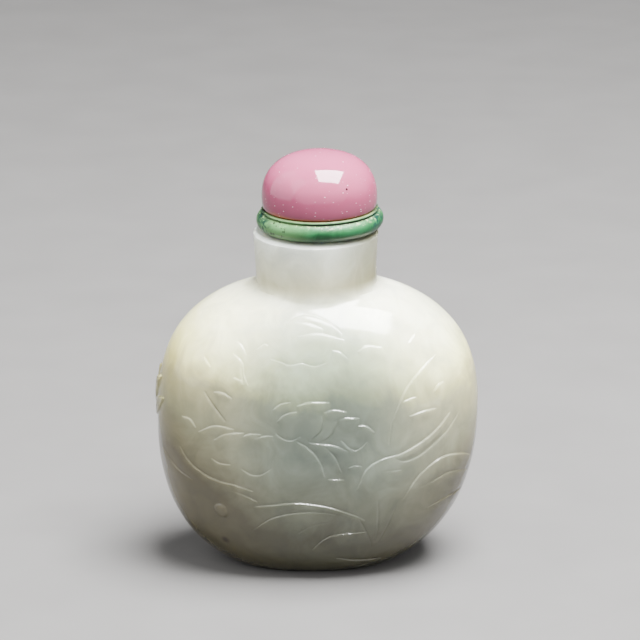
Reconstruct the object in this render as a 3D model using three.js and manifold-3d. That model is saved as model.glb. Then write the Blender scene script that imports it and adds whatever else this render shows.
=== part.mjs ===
// A flattened, rounded jade snuff bottle, hollowed, with a plain round neck, low-relief carving of a
// blossom and long leaves round its sides, and a stopper made of a domed glass cap, a ring-shaped
// green collar and a cork.
//
// Millimetres, +Z up. The origin is the middle of the flat foot, the broad carved face looks towards
// -Y, and the narrow sides are at +X and -X.
import * as THREE from "three";
import { mergeVertices } from "three/addons/utils/BufferGeometryUtils.js";
import Module from "manifold-3d";

// ---- driving dimensions -------------------------------------------------------------------------

const BODY = {
  halfWidth: 25.4, // X, at the widest level
  halfDepth: 16.5, // Y, at the widest level
  widestLevel: 25.2, // above the foot
  crownRise: 21.1, // from the widest level to where the shoulders would close
  baseDrop: 27.2, // from the widest level to where the base would close, under the cut foot
  sidePower: 2.44, // squareness of the outline seen from the front
  facePower: 2.6, // squareness of the outline seen from the side
  sectionPower: 2.25, // squareness of the level section
  lean: 1.05, // how far the hand-cut belly swells off the axis of the foot
  leanSpan: 64, // height over which the swelling would come back to nothing
  leanTop: 49, // above this the centre line runs straight up the neck
};
const NECK = {
  axisX: 0.7,
  lipLevel: 54.1,
  lipRadius: 9.8,
  lipRounding: 0.9,
  waistRadius: 9.5,
  waistLevel: 48,
  shoulderBlend: 1.3, // softness of the corner between shoulder and neck
  boreRadius: 4.5,
};
const WALL = 4; // of the hollowed body
const STOPPER = { axisX: 1.35, tiltDeg: 1, underside: 54.5, gap: 0.3 };
const COLLAR = {
  rimRadius: 9.96,
  rimRounding: 1.3,
  grooveRadius: 8.95,
  beadRadius: 9.15,
  beadTop: 3.3,
  dishRadius: 8.6,
  dishFloor: 2.35,
};
const CAP = {
  radius: 9.08,
  equator: 4.95, // above the collar's underside
  rise: 7.2, // from the equator to the top
  domePower: 2.4,
  seatRadius: 8.3,
  skirtRadius: 8.75,
};
const CORK = { radius: 4.15, tipRadius: 3.8, bottom: 48.2 };

// Facets.
const BODY_COLUMNS = 48;
const BODY_ROWS = 14;
const HOLLOW_COLUMNS = 24;
const HOLLOW_ROWS = 8;
const CAP_COLUMNS = 30;
const COLLAR_COLUMNS = 30;
const CORK_COLUMNS = 20;

// ---- the carving --------------------------------------------------------------------------------
// Places are [girth, level]: girth is measured round the widest level from the middle of the front,
// positive towards +X, and level is the height above the foot.

// Single leaves: each runs from its root to its tip, drawn towards its bend.
const LEAVES = [
  // arching to the left from the clump at the foot
  { root: [11, 8], bend: [1, 16], tip: [-11.5, 11.8], width: 2.6, rise: 0.5 },
  { root: [11.5, 6.5], bend: [0, 14.8], tip: [-12, 7.4], width: 5, rise: 0.45 },
  { root: [13, 6], bend: [5, 9.6], tip: [-1.5, 4.2], width: 3.6, rise: 0.45 },
  { root: [19, 4], bend: [11, 3.6], tip: [3, 2], width: 1.8, rise: 0.4 },
  // standing and bowing to the right
  { root: [11, 8], bend: [6.4, 21.8], tip: [14.8, 20.6], width: 4.2, rise: 0.45 },
  { root: [10.5, 20.6], bend: [20.6, 21.6], tip: [24.6, 31], width: 2.3, rise: 0.5 },
  { root: [13.5, 8], bend: [16, 23], tip: [33, 16], width: 5, rise: 0.5 },
  { root: [14.5, 6.5], bend: [20, 13.6], tip: [34, 10], width: 4, rise: 0.45 },
  { root: [10.5, 21], bend: [12.5, 32.5], tip: [22.8, 37.2], width: 1.7, rise: 0.4 },
  { root: [12.6, 26.4], bend: [15, 30.6], tip: [21, 28.8], width: 2.6, rise: 0.4 },
  { root: [20, 28.4], bend: [18.6, 32], tip: [22.6, 33.6], width: 2.2, rise: 0.35 },
  // sweeping up the left side
  { root: [-9, 14.9], bend: [-19, 14.6], tip: [-25, 22.5], width: 3, rise: 0.5 },
  { root: [-8, 12.8], bend: [-19, 12.6], tip: [-29, 19], width: 2.8, rise: 0.4 },
  { root: [-19.4, 23.6], bend: [-19.6, 27.8], tip: [-25.4, 26], width: 2.4, rise: 0.4 },
  { root: [-14, 26.6], bend: [-17, 29.6], tip: [-21.4, 33.6], width: 1.3, rise: 0.35 },
  // a bud under the neck, and a petal beside it
  { root: [5.2, 40.6], bend: [-1, 44.4], tip: [-7, 41.8], width: 1.9, rise: 0.4 },
  { root: [5, 39.2], bend: [0, 41.8], tip: [-4.4, 40.2], width: 1.8, rise: 0.35 },
  { root: [7.2, 37.8], bend: [9.5, 40], tip: [12.4, 38.2], width: 1.6, rise: 0.35 },
  // a sprig on the left shoulder
  { root: [-11.4, 33], bend: [-11.8, 38.6], tip: [-16, 40], width: 1.8, rise: 0.35 },
  { root: [-11.2, 33.2], bend: [-15.6, 33.6], tip: [-20.8, 36.8], width: 1.9, rise: 0.35 },
  // one long spray on the plain back
  { root: [54, 7], bend: [52, 24], tip: [44, 30], width: 3.6, rise: 0.45 },
  { root: [55, 7], bend: [62, 26], tip: [54, 37], width: 3.2, rise: 0.45 },
  { root: [56, 7], bend: [66, 14], tip: [79, 12], width: 4.2, rise: 0.45 },
  { root: [54.5, 6], bend: [48, 14], tip: [38, 13], width: 4, rise: 0.45 },
  { root: [56, 8], bend: [68, 19], tip: [70, 24], width: 1.4, rise: 0.4 },
];

// Rows of petals: the roots run from one place to another, and the directions turn with them.
const PETAL_ROWS = [
  // the big blossom: its lower left, lower right and upper petals
  { from: [-13, 25.2], to: [-3.6, 24.6], count: 5, turn: [196, 262], length: [7.4, 7],
    width: 4.6, curl: -0.18, rise: 0.5 },
  { from: [-2, 24.6], to: [2.4, 24.2], count: 3, turn: [290, 335], length: [7, 5.6],
    width: 4, curl: 0.16, rise: 0.5 },
  { from: [3, 24.8], to: [-5.4, 25.6], count: 5, turn: [24, 84], length: [5.6, 5.6],
    width: 4, curl: -0.12, rise: 0.55 },
  // a half-open flower on the left narrow side
  { from: [-33.4, 25.6], to: [-30, 25.6], count: 3, turn: [108, 74], length: [6.8, 6.4],
    width: 3, curl: 0.06, rise: 0.8 },
  // one blossom on the back
  { from: [73, 27], to: [73, 27], count: 6, turn: [0, 300], length: [6.4, 6.4],
    width: 5, curl: 0.12, rise: 0.5 },
];

const BEADS = [
  { at: [-17, 12.6], radius: 1.2, rise: 0.45 },
  { at: [73, 27], radius: 1.5, rise: 0.7 },
];

// ---- the bottle's own surface -------------------------------------------------------------------

const signedPower = (value, power) => Math.sign(value) * Math.abs(value) ** power;
const shrink = (share, power) => Math.max(0, 1 - share ** power) ** (1 / power);
const centreLine = (level) =>
  BODY.lean * Math.sin((Math.PI * Math.min(level, BODY.leanTop)) / BODY.leanSpan);

// Half width and half depth of the level section; inset is the thickness taken off all round.
function sectionAt(level, inset = 0) {
  const above = level - BODY.widestLevel;
  const reach = (above > 0 ? BODY.crownRise : BODY.baseDrop) - inset;
  const share = Math.min(1, Math.abs(above) / reach);
  return [
    (BODY.halfWidth - inset) * shrink(share, BODY.sidePower),
    (BODY.halfDepth - inset) * shrink(share, BODY.facePower),
  ];
}

// A place on a level section: angle 0 is the middle of the front, 90 degrees is +X.
function onSection(angle, level, inset = 0) {
  const [halfWidth, halfDepth] = sectionAt(level, inset);
  const power = 2 / BODY.sectionPower;
  return new THREE.Vector3(
    centreLine(level) + halfWidth * signedPower(Math.sin(angle), power),
    -halfDepth * signedPower(Math.cos(angle), power),
    level,
  );
}

// Distance round the widest level, from the middle of the front, for angles from 0 to 180 degrees.
const GIRTH_STEPS = 720;
const girthTable = [0];
for (let i = 1; i <= GIRTH_STEPS; i++) {
  const before = onSection((Math.PI * (i - 1)) / GIRTH_STEPS, BODY.widestLevel);
  const here = onSection((Math.PI * i) / GIRTH_STEPS, BODY.widestLevel);
  girthTable.push(girthTable[i - 1] + before.distanceTo(here));
}
const HALF_GIRTH = girthTable[GIRTH_STEPS];

function girthAngle(girth) {
  const wrapped = THREE.MathUtils.euclideanModulo(girth + HALF_GIRTH, 2 * HALF_GIRTH) - HALF_GIRTH;
  const along = Math.abs(wrapped);
  const next = Math.max(1, girthTable.findIndex((distance) => distance >= along));
  const share = (along - girthTable[next - 1]) / (girthTable[next] - girthTable[next - 1]);
  return (Math.sign(wrapped) * Math.PI * (next - 1 + share)) / GIRTH_STEPS;
}

const onBody = (girth, level) => onSection(girthAngle(girth), level);

// The surface moved out (or, with a negative lift, in) along its normal.
function lifted(girth, level, lift) {
  const step = 0.2;
  const across = onBody(girth + step, level).sub(onBody(girth - step, level));
  const up = onBody(girth, level + step).sub(onBody(girth, level - step));
  return onBody(girth, level).addScaledVector(across.cross(up).normalize(), lift);
}

// ---- solids -------------------------------------------------------------------------------------

const wasm = await Module();
wasm.setup();

// A closed three.js geometry as a solid, with every vertex sent through a function on its way.
function solid(geometry, place = (vertex) => vertex) {
  const bare = geometry.clone();
  bare.deleteAttribute("normal");
  bare.deleteAttribute("uv");
  const merged = mergeVertices(bare, 1e-4);
  const position = merged.getAttribute("position");
  for (let i = 0; i < position.count; i++) {
    const moved = place(new THREE.Vector3().fromBufferAttribute(position, i));
    position.setXYZ(i, moved.x, moved.y, moved.z);
  }
  return new wasm.Manifold(
    new wasm.Mesh({
      numProp: 3,
      vertProperties: position.array,
      triVerts: new Uint32Array(merged.index.array),
    }),
  );
}

// The main shell of a solid, without the pinhole pockets left where leaves cross.
function largest(manifold) {
  const shells = manifold.decompose();
  return shells.reduce((best, shell) => (shell.volume() > best.volume() ? shell : best));
}

// A profile of [radius, level] pairs, turned about an upright axis. LatheGeometry turns about +Y.
function turned(profile, columns, axisX = 0) {
  const points = profile.map(([radius, level]) => new THREE.Vector2(radius, level));
  const lathe = new THREE.LatheGeometry(points, columns);
  lathe.rotateX(Math.PI / 2);
  lathe.translate(axisX, 0, 0);
  return lathe;
}

// An upright form with one row of vertices per level, from the bottom one to the top one.
function upright(columns, levels, place) {
  const rows = levels.length - 1;
  return solid(new THREE.CylinderGeometry(1, 1, 1, columns, rows), (vertex) => {
    const level = levels[Math.round((vertex.y + 0.5) * rows)];
    const isCentre = Math.hypot(vertex.x, vertex.z) < 0.5;
    if (isCentre) return new THREE.Vector3(centreLine(level), 0, level);
    return place(Math.atan2(vertex.x, vertex.z), level);
  });
}

// Levels from one to another that follow the roundness of the body, closer where it turns over.
function roundedLevels(bottom, top, rows, inset = 0) {
  const drop = BODY.baseDrop - inset;
  const rise = BODY.crownRise - inset;
  const lowest = Math.asin((bottom - BODY.widestLevel) / drop);
  const highest = Math.asin((top - BODY.widestLevel) / rise);
  return Array.from({ length: rows + 1 }, (_, i) => {
    const swing = THREE.MathUtils.lerp(lowest, highest, i / rows);
    return BODY.widestLevel + (swing > 0 ? rise : drop) * Math.sin(swing);
  });
}

function neckRadius(level) {
  const underLip = NECK.lipLevel - NECK.lipRounding;
  const share = THREE.MathUtils.inverseLerp(NECK.waistLevel, underLip, level);
  const straight = THREE.MathUtils.lerp(
    NECK.waistRadius,
    NECK.lipRadius,
    THREE.MathUtils.clamp(share, 0, 1),
  );
  const intoLip = Math.max(0, level - underLip) / NECK.lipRounding;
  return straight - NECK.lipRounding * (1 - Math.sqrt(Math.max(0, 1 - intoLip ** 2)));
}

// The larger of two radii, with the corner between them filled.
function blendedRadius(first, second, blend) {
  const share = THREE.MathUtils.clamp(0.5 + (first - second) / (2 * blend), 0, 1);
  return THREE.MathUtils.lerp(second, first, share) + blend * share * (1 - share);
}

// Body and neck in one.
function outsideForm() {
  const shoulder = BODY.widestLevel + BODY.crownRise * 0.965;
  const underLip = NECK.lipLevel - NECK.lipRounding;
  const levels = [
    ...roundedLevels(0, shoulder, BODY_ROWS),
    shoulder + 0.4,
    shoulder + 1.1,
    NECK.waistLevel,
    underLip,
    underLip + NECK.lipRounding * 0.5,
    underLip + NECK.lipRounding * 0.87,
    NECK.lipLevel,
  ];
  return upright(BODY_COLUMNS, levels, (angle, level) => {
    const nearest = Math.min(level, shoulder);
    const onNearest = onSection(angle, nearest);
    const outward = onNearest.clone().sub(new THREE.Vector3(centreLine(nearest), 0, nearest));
    const share = Math.min(1, (level - BODY.widestLevel) / BODY.crownRise);
    const nearestShare = (nearest - BODY.widestLevel) / BODY.crownRise;
    const closing = shrink(share, BODY.sidePower) / shrink(nearestShare, BODY.sidePower);
    const bodyRadius = outward.length() * (level > nearest ? closing : 1);
    const isUpper = level > BODY.widestLevel;
    const radius = isUpper
      ? blendedRadius(bodyRadius, neckRadius(level), NECK.shoulderBlend)
      : bodyRadius;
    return outward.setLength(radius).add(new THREE.Vector3(centreLine(level), 0, level));
  });
}

function hollowForm() {
  const top = BODY.widestLevel + (BODY.crownRise - WALL) * 0.97;
  const bottom = BODY.widestLevel - (BODY.baseDrop - WALL) * 0.9;
  const levels = roundedLevels(bottom, top, HOLLOW_ROWS, WALL);
  return upright(HOLLOW_COLUMNS, levels, (angle, level) => onSection(angle, level, WALL));
}

function boreForm() {
  const bottom = NECK.lipLevel - 16;
  const chamfer = 0.4;
  return solid(
    turned(
      [
        [0, bottom],
        [NECK.boreRadius, bottom],
        [NECK.boreRadius, NECK.lipLevel - chamfer],
        [NECK.boreRadius + 2 * chamfer, NECK.lipLevel + chamfer],
        [0, NECK.lipLevel + chamfer],
      ],
      CORK_COLUMNS,
      NECK.axisX,
    ),
  );
}

// ---- carving ------------------------------------------------------------------------------------

const LEAF_SUNK = 0.6; // how deep a leaf's underside lies in the body
const LEAF_BLUNTNESS = 0.15; // half width kept at the root and the tip
const LEAF_EDGE = 0.14; // how far a leaf's edge stands proud
const LEAF_STEP = 3.2; // length of one facet along a leaf
const FEWEST_STEPS = 4;
const LEAF_SWELL = 0.85; // under 1 a leaf is widest near its root, over 1 near its tip
const PETAL_SWELL = 1.5;
const CREST_PLACE = 0.3; // the crest of a leaf, off its middle towards its upper edge

// One leaf: a box bent along its spine, with a crest, laid on the body's surface.
function leafForm({ root, bend, tip, width, rise, swell = LEAF_SWELL }) {
  const spine = new THREE.QuadraticBezierCurve(
    new THREE.Vector2(...root),
    new THREE.Vector2(...bend),
    new THREE.Vector2(...tip),
  );
  const steps = Math.max(FEWEST_STEPS, Math.round(spine.getLength() / LEAF_STEP));
  return solid(new THREE.BoxGeometry(2, 1, 1, 2, steps, 1), (vertex) => {
    const along = vertex.y + 0.5;
    const middle = spine.getPoint(along);
    const heading = spine.getTangent(along);
    const upperSide = heading.x < 0 ? 1 : -1;
    const half = LEAF_BLUNTNESS + (width / 2) * Math.sin(Math.PI * along ** swell) ** 0.75;
    const isCrest = Math.abs(vertex.x) < 0.5;
    const side = isCrest ? CREST_PLACE * upperSide : vertex.x;
    const girth = middle.x + heading.y * side * half;
    const level = middle.y - heading.x * side * half;
    if (vertex.z < 0) return lifted(girth, level, -LEAF_SUNK);
    const fullness = 0.35 + 0.65 * Math.sin(Math.PI * along);
    return lifted(girth, level, isCrest ? Math.max(rise * fullness, LEAF_EDGE) : LEAF_EDGE);
  });
}

function petalLeaves({ from, to, count, turn, length, width, curl, rise }) {
  return Array.from({ length: count }, (_, i) => {
    const share = i / (count - 1);
    const mix = ([first, last]) => THREE.MathUtils.lerp(first, last, share);
    const root = new THREE.Vector2(...from).lerp(new THREE.Vector2(...to), share);
    const angle = THREE.MathUtils.degToRad(mix(turn));
    const reach = new THREE.Vector2(Math.cos(angle), Math.sin(angle)).multiplyScalar(mix(length));
    const sideways = new THREE.Vector2(-reach.y, reach.x).multiplyScalar(-curl);
    const tip = root.clone().add(reach);
    const bend = root.clone().addScaledVector(reach, 0.5).add(sideways);
    return {
      root: root.toArray(),
      bend: bend.toArray(),
      tip: tip.toArray(),
      width,
      rise,
      swell: PETAL_SWELL,
    };
  });
}

function beadForm({ at: [girth, level], radius, rise }) {
  return solid(new THREE.SphereGeometry(1, 12, 6), (vertex) =>
    lifted(girth + radius * vertex.x, level + radius * vertex.y, rise * vertex.z),
  );
}

function bottleForm() {
  const carving = [
    ...[...LEAVES, ...PETAL_ROWS.flatMap(petalLeaves)].map(leafForm),
    ...BEADS.map(beadForm),
  ];
  const carved = wasm.Manifold.union([outsideForm(), ...carving]);
  return largest(carved).subtract(hollowForm()).subtract(boreForm());
}

// ---- the stopper --------------------------------------------------------------------------------

// Levels are above the collar's underside.
function collarForm() {
  const rounding = COLLAR.rimRounding;
  const ringMiddle = COLLAR.rimRadius - rounding;
  const profile = [[0, 0]];
  const steps = 6;
  for (let i = 0; i <= steps; i++) {
    const angle = -Math.PI / 2 + (i / steps) * THREE.MathUtils.degToRad(162);
    profile.push([
      ringMiddle + rounding * Math.cos(angle),
      rounding + rounding * Math.sin(angle),
    ]);
  }
  profile.push(
    [COLLAR.grooveRadius, 2 * rounding - 0.1],
    [COLLAR.beadRadius, 2 * rounding + 0.1],
    [COLLAR.beadRadius, COLLAR.beadTop - 0.2],
    [COLLAR.beadRadius - 0.2, COLLAR.beadTop],
    [COLLAR.dishRadius, COLLAR.beadTop - 0.05],
    [COLLAR.dishRadius, COLLAR.dishFloor],
    [0, COLLAR.dishFloor],
  );
  return turned(profile, COLLAR_COLUMNS);
}

function capForm() {
  const seat = COLLAR.dishFloor + STOPPER.gap;
  const overhang = COLLAR.beadTop + STOPPER.gap;
  const profile = [
    [0, seat],
    [CAP.seatRadius, seat],
    [CAP.seatRadius, overhang],
    [CAP.skirtRadius, overhang + 0.05],
    [(CAP.skirtRadius + CAP.radius) / 2 + 0.08, (overhang + CAP.equator) / 2],
  ];
  const steps = 7;
  for (let i = 0; i <= steps; i++) {
    const angle = (Math.PI / 2) * (i / steps);
    profile.push([
      CAP.radius * Math.cos(angle) ** (2 / CAP.domePower),
      CAP.equator + CAP.rise * Math.sin(angle) ** (2 / CAP.domePower),
    ]);
  }
  profile[profile.length - 1][0] = 0;
  return turned(profile, CAP_COLUMNS);
}

function corkForm() {
  const top = STOPPER.underside - STOPPER.gap - 0.1;
  const chamfer = 0.4;
  return turned(
    [
      [0, CORK.bottom],
      [CORK.tipRadius - chamfer, CORK.bottom],
      [CORK.tipRadius, CORK.bottom + chamfer],
      [CORK.radius, top],
      [0, top],
    ],
    CORK_COLUMNS,
    NECK.axisX,
  );
}

// ---- the object ---------------------------------------------------------------------------------

function geometryOf(manifold) {
  const { numProp, vertProperties, triVerts } = manifold.getMesh();
  const geometry = new THREE.BufferGeometry();
  const vertices = new THREE.InterleavedBuffer(vertProperties, numProp);
  geometry.setAttribute("position", new THREE.InterleavedBufferAttribute(vertices, 3, 0));
  geometry.setIndex(new THREE.BufferAttribute(triVerts, 1));
  const plain = geometry.toNonIndexed();
  plain.computeVertexNormals();
  return plain;
}

function piece(name, geometry, color, roughness) {
  const material = new THREE.MeshStandardMaterial({ color, roughness, metalness: 0 });
  const mesh = new THREE.Mesh(geometry, material);
  mesh.name = name;
  return mesh;
}

const snuffBottle = new THREE.Group();
snuffBottle.add(piece("bottle", geometryOf(bottleForm()), 0xdfe0d4, 0.3));
snuffBottle.add(piece("cork", corkForm(), 0xb08a5c, 0.9));

// The cap and its collar sit a little off the neck's axis and a degree out of level.
const stopperTop = new THREE.Group();
stopperTop.position.set(STOPPER.axisX, 0, STOPPER.underside);
stopperTop.rotation.y = -THREE.MathUtils.degToRad(STOPPER.tiltDeg);
stopperTop.add(piece("collar", collarForm(), 0x4f8f66, 0.35));
stopperTop.add(piece("cap", capForm(), 0xd096ab, 0.12));
snuffBottle.add(stopperTop);

export default snuffBottle;
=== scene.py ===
# A carved jade snuff bottle with a pink glass cap on a green collar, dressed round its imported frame.
# Metres, +Z up. Sizes in the dictionaries are in millimetres.
import math
import bpy
import numpy as np
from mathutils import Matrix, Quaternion, Vector


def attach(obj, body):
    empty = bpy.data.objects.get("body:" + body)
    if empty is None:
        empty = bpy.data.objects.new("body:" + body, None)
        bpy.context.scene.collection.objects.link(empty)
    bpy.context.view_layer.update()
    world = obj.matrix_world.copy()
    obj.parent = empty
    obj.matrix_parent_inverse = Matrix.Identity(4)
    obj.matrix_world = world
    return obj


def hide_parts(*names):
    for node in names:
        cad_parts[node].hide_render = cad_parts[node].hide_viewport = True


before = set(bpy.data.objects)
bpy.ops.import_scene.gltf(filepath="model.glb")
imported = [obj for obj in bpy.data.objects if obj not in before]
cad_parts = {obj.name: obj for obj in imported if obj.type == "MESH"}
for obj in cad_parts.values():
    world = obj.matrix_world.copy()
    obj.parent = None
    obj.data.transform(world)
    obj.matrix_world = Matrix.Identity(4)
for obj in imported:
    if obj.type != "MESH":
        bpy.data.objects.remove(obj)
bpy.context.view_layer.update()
mm = 0.001


def hexColour(code):
    # sRGB hex to the linear numbers that shaders want
    values = [int(code.lstrip("#")[i:i + 2], 16) / 255 for i in (0, 2, 4)]
    return [v / 12.92 if v <= 0.04045 else ((v + 0.055) / 1.055) ** 2.4 for v in values] + [1]


def deselectAll():
    if bpy.context.object and bpy.context.object.mode != "OBJECT":
        bpy.ops.object.mode_set(mode="OBJECT")
    bpy.ops.object.select_all(action="DESELECT")


def editMode(piece, kind="VERT"):
    deselectAll()
    piece.select_set(True)
    bpy.context.view_layer.objects.active = piece
    bpy.ops.object.mode_set(mode="EDIT")
    bpy.ops.mesh.select_mode(type=kind)


def readArray(parts, name, width=1, kind=float):
    values = np.empty(len(parts) * width, kind)
    parts.foreach_get(name, values)
    return values.reshape(-1, width) if width > 1 else values


def readPoints(piece):
    return readArray(piece.data.vertices, "co", 3)


def writePoints(piece, points):
    piece.data.vertices.foreach_set("co", np.asarray(points, float).ravel())
    piece.data.update()


def pick(piece, kind, mask):
    # selection by a mask, in object mode; kind is "vertices" or "polygons"
    for name in ("vertices", "edges", "polygons"):
        parts = getattr(piece.data, name)
        parts.foreach_set("select", mask if name == kind else np.zeros(len(parts), bool))


def smoothStep(low, high, value):
    share = np.clip((value - low) / (high - low), 0, 1)
    return share * share * (3 - 2 * share)


def addNode(material, kind, settings=None, links=None, stops=()):
    # settings: input or property to value; links: input to (node, output)
    # stops: the places and colours of a ramp
    node = material.node_tree.nodes.new(kind)
    for name, value in (settings or {}).items():
        if isinstance(name, int) or name in node.inputs:
            node.inputs[name].default_value = value
        else:
            setattr(node, name, value)
    for name, (source, output) in (links or {}).items():
        material.node_tree.links.new(source.outputs[output], node.inputs[name])
    for number, (position, code) in enumerate(stops):
        if number >= len(node.color_ramp.elements):
            node.color_ramp.elements.new(position)
        node.color_ramp.elements[number].position = position
        node.color_ramp.elements[number].color = hexColour(code)
    return node


def newMaterial(name):
    # an empty material, and the piece's own coordinates to lay its patterns on
    material = bpy.data.materials.new(name)
    material.use_nodes = True
    material.node_tree.nodes.clear()
    return material, (addNode(material, "ShaderNodeTexCoord"), "Object")


def patchMask(material, place, centre, begins, whole=None, strength=1):
    # a mask round a place: it grows from where it begins to where it is whole, or has a hard edge
    away = addNode(material, "ShaderNodeVectorMath", {
        "operation": "DISTANCE", 1: Vector(centre) * mm}, {0: place})
    if whole is None:
        return addNode(material, "ShaderNodeMath", {
            "operation": "LESS_THAN", 1: begins * mm}, {0: (away, "Value")}), "Value"
    return addNode(material, "ShaderNodeMapRange", {
        "interpolation_type": "SMOOTHSTEP", "From Min": begins * mm, "From Max": whole * mm,
        "To Max": strength}, {"Value": (away, "Value")}), "Result"


def finishPiece(piece, node, material):
    piece.data.materials.clear()
    piece.data.materials.append(material)
    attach(piece, "root")
    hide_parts(node)


bottle = dict(
    halfWidth=25.4, halfDepth=16.5, widestLevel=25.2, crownRise=21.1, baseDrop=27.2,
    sidePower=2.44, facePower=2.6, sectionPower=2.25,
    bodyShare=0.965,                          # the shoulder keeps its section above this share of the crown
    lean=1.05, leanSpan=64, leanTop=49,       # the belly swells a little off the foot's axis
    lipLevel=54.1, lipRadius=9.8, waistRadius=9.5, waistLevel=48, shoulderBlend=1.1,
    bevelFoot=53.72, bevel=0.22, bevelSlope=math.radians(49), lipCrown=0.35,
    wall=4, boreRadius=4.5, boreEdge=0.1, hollowTop=41.8,
    chamber=(1.2, -1.11),                     # top and floor of the chamber, as turns of its curve
    footRounding=0.5,
    cell=0.6,                                 # spacing of the uncarved mesh
    finer=(0.5, 0.28, 0.13),                  # it is halved within each of these of a crisp edge
    seamGirth=-46,                            # where the wrapped mesh closes, between the carvings
)


def shrink(share, power):
    return np.maximum(0, 1 - np.abs(share) ** power) ** (1 / power)


def centreLine(level):
    return bottle["lean"] * np.sin(math.pi * np.minimum(level, bottle["leanTop"]) / bottle["leanSpan"])


def sectionAt(level, inset=0):
    above = level - bottle["widestLevel"]
    reach = np.where(above > 0, bottle["crownRise"], bottle["baseDrop"]) - inset
    share = np.minimum(1, np.abs(above) / reach)
    return ((bottle["halfWidth"] - inset) * shrink(share, bottle["sidePower"]),
            (bottle["halfDepth"] - inset) * shrink(share, bottle["facePower"]))


def signedPower(value, power):
    return np.sign(value) * np.abs(value) ** power


def onSection(angle, level):
    # angle 0 is the middle of the front, a quarter turn is +X
    halfWidth, halfDepth = sectionAt(level)
    power = 2 / bottle["sectionPower"]
    return np.stack([halfWidth * signedPower(np.sin(angle), power),
                     -halfDepth * signedPower(np.cos(angle), power)], -1)


def neckRadius(level):
    share = np.clip((level - bottle["waistLevel"]) / (bottle["bevelFoot"] - bottle["waistLevel"]), 0, 1)
    return bottle["waistRadius"] + (bottle["lipRadius"] - bottle["waistRadius"]) * share


def girthTable(steps=2880):
    # distance round the widest level for each angle, both from the middle of the front
    angle = np.linspace(0, math.pi, steps + 1)
    places = onSection(angle, np.full(steps + 1, bottle["widestLevel"]))
    hops = np.linalg.norm(np.diff(places, axis=0), axis=1)
    return np.concatenate([[0], np.cumsum(hops)]), angle


girths, girthAngles = girthTable()
halfGirth = girths[-1]


def girthAngle(girth):
    wrapped = (girth + halfGirth) % (2 * halfGirth) - halfGirth
    return np.sign(wrapped) * np.interp(np.abs(wrapped), girths, girthAngles)


def riseTable(steps=4000, crownTurn=1.33):
    # distance up the outline for each level, so that mesh rows come evenly spaced
    widest, crown, base = bottle["widestLevel"], bottle["crownRise"], bottle["baseDrop"]
    level = np.concatenate([
        widest + base * np.sin(np.linspace(-math.asin(widest / base), 0, steps)),
        widest + crown * np.sin(np.linspace(0, crownTurn, steps))[1:],
        np.linspace(widest + crown * math.sin(crownTurn), bottle["bevelFoot"], steps)[1:]])
    halfWidth, halfDepth = sectionAt(level)
    radius = np.maximum((halfWidth + halfDepth) / 2, neckRadius(level) * (level > widest))
    hops = np.hypot(np.diff(level), np.diff(radius))
    return np.concatenate([[0], np.cumsum(hops)]), level


rises, riseLevels = riseTable()


def outline(girth, level):
    # place on the plain bottle, body and neck in one
    bodyLevel = np.minimum(level, bottle["widestLevel"] + bottle["crownRise"] * bottle["bodyShare"])
    body = onSection(girthAngle(girth), bodyLevel)
    length = np.linalg.norm(body, axis=-1)
    bodyRadius = length * (sectionAt(level)[0] / np.maximum(sectionAt(bodyLevel)[0], 1e-6))
    neck, blend = neckRadius(level), bottle["shoulderBlend"]
    share = np.clip(0.5 + (bodyRadius - neck) / (2 * blend), 0, 1)
    mixed = neck + (bodyRadius - neck) * share + blend * share * (1 - share)
    radius = np.where(level > bottle["widestLevel"], mixed, bodyRadius)
    flat = body / length[:, None] * radius[:, None]
    return np.stack([flat[:, 0] + centreLine(level), flat[:, 1], level], -1)


def outlineNormal(girth, level):
    step = 0.1
    across = outline(girth + step, level) - outline(girth - step, level)
    up = outline(girth, level + step) - outline(girth, level - step)
    normal = np.cross(across, up)
    return normal / np.linalg.norm(normal, axis=-1, keepdims=True)


# Places are (girth, level): girth is measured round the widest level from the middle of the front,
# towards +X. A cut runs through its places and leaves its form standing on its right-hand side.

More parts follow.
